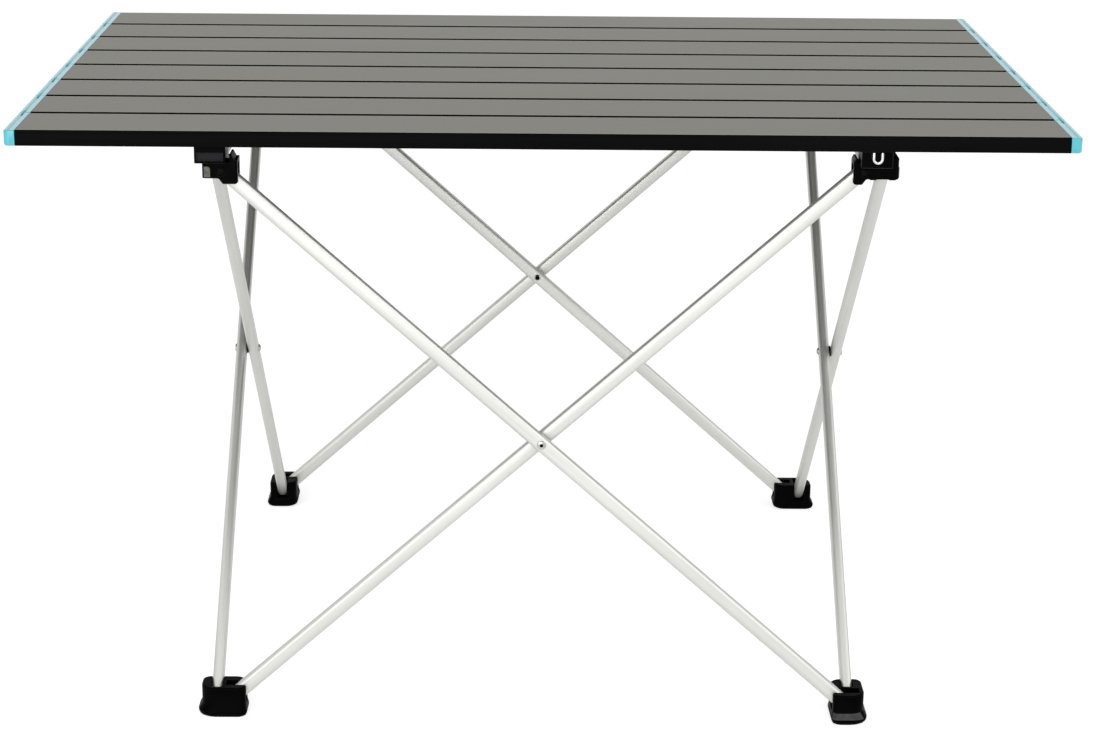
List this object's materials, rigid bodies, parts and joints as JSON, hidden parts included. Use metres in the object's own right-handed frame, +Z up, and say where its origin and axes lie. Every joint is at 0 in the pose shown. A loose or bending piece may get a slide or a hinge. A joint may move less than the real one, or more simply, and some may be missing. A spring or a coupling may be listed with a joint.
{
  "type": "camping table",
  "caption": "Folding camping table: a roll-up top of grey aluminium slats with blue end caps on crossed silver tube legs, with black hubs, feet and support rails.",
  "frame": {"origin": "on the floor, under the middle of the top", "axes": "+X along the slats, +Z up, -Y towards the front edge"},
  "size_m": [0.68, 0.465, 0.4055],
  "materials": {
    "slat_aluminium": "satin grey anodised top, black sides",
    "cap_plastic": "moulded, light blue",
    "leg_aluminium": "satin silver anodised",
    "rivet_metal": "bright plated",
    "pin_metal": "black coated",
    "hub_plastic": "moulded, black",
    "foot_rubber": "moulded, black",
    "rail_aluminium": "black anodised",
    "loop_steel": "bright drawn wire"
  },
  "bodies": {
    "foot_front_left": {"foot_front_left": "foot_rubber"},
    "leg_front_inner": {"leg_front_inner": "leg_aluminium", "crossing_rivet_front": "rivet_metal"},
    "leg_front_outer": {"leg_front_outer": "leg_aluminium"},
    "leg_right_inner": {"leg_right_inner": "leg_aluminium", "crossing_rivet_right": "rivet_metal"},
    "leg_right_outer": {"leg_right_outer": "leg_aluminium"},
    "leg_back_inner": {"leg_back_inner": "leg_aluminium", "crossing_rivet_back": "rivet_metal"},
    "leg_back_outer": {"leg_back_outer": "leg_aluminium"},
    "leg_left_inner": {"leg_left_inner": "leg_aluminium", "crossing_rivet_left": "rivet_metal"},
    "leg_left_outer": {"leg_left_outer": "leg_aluminium"},
    "hub_front_left": {"hub_front_left": "hub_plastic", "hub_pin_outer_front_left": "pin_metal", "hub_pin_inner_front_left": "pin_metal"},
    "foot_front_right": {"foot_front_right": "foot_rubber"},
    "hub_front_right": {"hub_front_right": "hub_plastic", "hub_pin_outer_front_right": "pin_metal", "hub_pin_inner_front_right": "pin_metal"},
    "foot_back_right": {"foot_back_right": "foot_rubber"},
    "hub_back_right": {"hub_back_right": "hub_plastic", "hub_pin_outer_back_right": "pin_metal", "hub_pin_inner_back_right": "pin_metal"},
    "foot_back_left": {"foot_back_left": "foot_rubber"},
    "hub_back_left": {"hub_back_left": "hub_plastic", "hub_pin_outer_back_left": "pin_metal", "hub_pin_inner_back_left": "pin_metal"},
    "rail_left": {"support_rail_left": "rail_aluminium", "rail_end_front_left": "hub_plastic", "rail_end_back_left": "hub_plastic", "wire_loop_back_left": "loop_steel"},
    "rail_right": {"support_rail_right": "rail_aluminium", "rail_end_front_right": "hub_plastic", "rail_end_back_right": "hub_plastic", "wire_loop_front_right": "loop_steel"},
    "slat_1": {"slat_1": "slat_aluminium", "cap_left_1": "cap_plastic", "cap_right_1": "cap_plastic"},
    "slat_2": {"slat_2": "slat_aluminium", "cap_left_2": "cap_plastic", "cap_right_2": "cap_plastic"},
    "slat_3": {"slat_3": "slat_aluminium", "cap_left_3": "cap_plastic", "cap_right_3": "cap_plastic"},
    "slat_4": {"slat_4": "slat_aluminium", "cap_left_4": "cap_plastic", "cap_right_4": "cap_plastic"},
    "slat_5": {"slat_5": "slat_aluminium", "cap_left_5": "cap_plastic", "cap_right_5": "cap_plastic"},
    "slat_6": {"slat_6": "slat_aluminium", "cap_left_6": "cap_plastic", "cap_right_6": "cap_plastic"},
    "slat_7": {"slat_7": "slat_aluminium", "cap_left_7": "cap_plastic", "cap_right_7": "cap_plastic"},
    "slat_8": {"slat_8": "slat_aluminium", "cap_left_8": "cap_plastic", "cap_right_8": "cap_plastic"}
  },
  "joints": [
    {"name": "leg_fold", "type": "hinge", "parent": "foot_front_left", "child": "leg_front_inner", "pos_m": [-0.2048, -0.2099, 0.0135], "axis": [0, -1, 0], "range_deg": [0, 45]},
    {"name": "front_crossing", "type": "hinge", "parent": "leg_front_inner", "child": "leg_front_outer", "pos_m": [0, -0.2142, 0.196], "axis": [0, -1, 0], "range_deg": [-90, 0]},
    {"name": "front_left_hub_turn", "type": "hinge", "parent": "leg_front_outer", "child": "hub_front_left", "pos_m": [-0.2048, -0.2185, 0.3785], "axis": [0, -1, 0], "range_deg": [0, 45]},
    {"name": "front_right_hub_turn", "type": "hinge", "parent": "leg_front_inner", "child": "hub_front_right", "pos_m": [0.2048, -0.2099, 0.3785], "axis": [0, -1, 0], "range_deg": [-45, 0]},
    {"name": "front_right_foot_turn", "type": "hinge", "parent": "leg_front_outer", "child": "foot_front_right", "pos_m": [0.2048, -0.2185, 0.0135], "axis": [0, -1, 0], "range_deg": [0, 45]},
    {"name": "right_inner_leg_turn", "type": "hinge", "parent": "foot_front_right", "child": "leg_right_inner", "pos_m": [0.2099, -0.2048, 0.0135], "axis": [1, 0, 0], "range_deg": [0, 45]},
    {"name": "right_crossing", "type": "hinge", "parent": "leg_right_inner", "child": "leg_right_outer", "pos_m": [0.2142, 0, 0.196], "axis": [1, 0, 0], "range_deg": [-90, 0]},
    {"name": "back_right_hub_turn", "type": "hinge", "parent": "leg_right_inner", "child": "hub_back_right", "pos_m": [0.2099, 0.2048, 0.3785], "axis": [1, 0, 0], "range_deg": [-45, 0]},
    {"name": "back_right_foot_turn", "type": "hinge", "parent": "leg_right_outer", "child": "foot_back_right", "pos_m": [0.2185, 0.2048, 0.0135], "axis": [1, 0, 0], "range_deg": [0, 45]},
    {"name": "left_outer_leg_turn", "type": "hinge", "parent": "foot_front_left", "child": "leg_left_outer", "pos_m": [-0.2185, -0.2048, 0.0135], "axis": [-1, 0, 0], "range_deg": [-45, 0]},
    {"name": "left_crossing", "type": "hinge", "parent": "leg_left_outer", "child": "leg_left_inner", "pos_m": [-0.2142, 0, 0.196], "axis": [-1, 0, 0], "range_deg": [0, 90]},
    {"name": "back_left_hub_turn", "type": "hinge", "parent": "leg_left_outer", "child": "hub_back_left", "pos_m": [-0.2185, 0.2048, 0.3785], "axis": [-1, 0, 0], "range_deg": [0, 45]},
    {"name": "back_left_foot_turn", "type": "hinge", "parent": "leg_left_inner", "child": "foot_back_left", "pos_m": [-0.2099, 0.2048, 0.0135], "axis": [-1, 0, 0], "range_deg": [-45, 0]},
    {"name": "back_outer_leg_turn", "type": "hinge", "parent": "foot_back_left", "child": "leg_back_outer", "pos_m": [-0.2048, 0.2185, 0.0135], "axis": [0, 1, 0], "range_deg": [-45, 0]},
    {"name": "back_crossing", "type": "hinge", "parent": "leg_back_outer", "child": "leg_back_inner", "pos_m": [0, 0.2142, 0.196], "axis": [0, 1, 0], "range_deg": [0, 90]},
    {"name": "top_lift", "type": "slide", "parent": "hub_front_left", "child": "rail_left", "axis": [0, 0, 1], "range_m": [0, 0.1]},
    {"name": "right_rail_lift", "type": "slide", "parent": "hub_front_right", "child": "rail_right", "axis": [0, 0, 1], "range_m": [0, 0.1]},
    {"name": "slats_lift", "type": "slide", "parent": "rail_left", "child": "slat_1", "axis": [0, 0, 1], "range_m": [0, 0.1]},
    {"name": "roll_1", "type": "hinge", "parent": "slat_1", "child": "slat_2", "pos_m": [0, -0.17513, 0.4055], "axis": [1, 0, 0], "range_deg": [0, 45]},
    {"name": "roll_2", "type": "hinge", "parent": "slat_2", "child": "slat_3", "pos_m": [0, -0.11675, 0.4055], "axis": [1, 0, 0], "range_deg": [0, 45]},
    {"name": "roll_3", "type": "hinge", "parent": "slat_3", "child": "slat_4", "pos_m": [0, -0.05838, 0.4055], "axis": [1, 0, 0], "range_deg": [0, 45]},
    {"name": "roll_4", "type": "hinge", "parent": "slat_4", "child": "slat_5", "pos_m": [0, 0, 0.4055], "axis": [1, 0, 0], "range_deg": [0, 45]},
    {"name": "roll_5", "type": "hinge", "parent": "slat_5", "child": "slat_6", "pos_m": [0, 0.05838, 0.4055], "axis": [1, 0, 0], "range_deg": [0, 45]},
    {"name": "roll_6", "type": "hinge", "parent": "slat_6", "child": "slat_7", "pos_m": [0, 0.11675, 0.4055], "axis": [1, 0, 0], "range_deg": [0, 45]},
    {"name": "roll_7", "type": "hinge", "parent": "slat_7", "child": "slat_8", "pos_m": [0, 0.17513, 0.4055], "axis": [1, 0, 0], "range_deg": [0, 45]}
  ],
  "couplings": [
    {"joint": "front_crossing", "follows": "leg_fold", "ratio": -2},
    {"joint": "front_left_hub_turn", "follows": "leg_fold", "ratio": 1},
    {"joint": "front_right_hub_turn", "follows": "leg_fold", "ratio": -1},
    {"joint": "front_right_foot_turn", "follows": "leg_fold", "ratio": 1},
    {"joint": "right_inner_leg_turn", "follows": "leg_fold", "ratio": 1},
    {"joint": "right_crossing", "follows": "leg_fold", "ratio": -2},
    {"joint": "back_right_hub_turn", "follows": "leg_fold", "ratio": -1},
    {"joint": "back_right_foot_turn", "follows": "leg_fold", "ratio": 1},
    {"joint": "left_outer_leg_turn", "follows": "leg_fold", "ratio": -1},
    {"joint": "left_crossing", "follows": "leg_fold", "ratio": 2},
    {"joint": "back_left_hub_turn", "follows": "leg_fold", "ratio": 1},
    {"joint": "back_left_foot_turn", "follows": "leg_fold", "ratio": -1},
    {"joint": "back_outer_leg_turn", "follows": "leg_fold", "ratio": -1},
    {"joint": "back_crossing", "follows": "leg_fold", "ratio": 2},
    {"joint": "right_rail_lift", "follows": "top_lift", "ratio": 1},
    {"joint": "roll_2", "follows": "roll_1", "ratio": 1},
    {"joint": "roll_3", "follows": "roll_1", "ratio": 1},
    {"joint": "roll_4", "follows": "roll_1", "ratio": 1},
    {"joint": "roll_5", "follows": "roll_1", "ratio": 1},
    {"joint": "roll_6", "follows": "roll_1", "ratio": 1},
    {"joint": "roll_7", "follows": "roll_1", "ratio": 1}
  ]
}
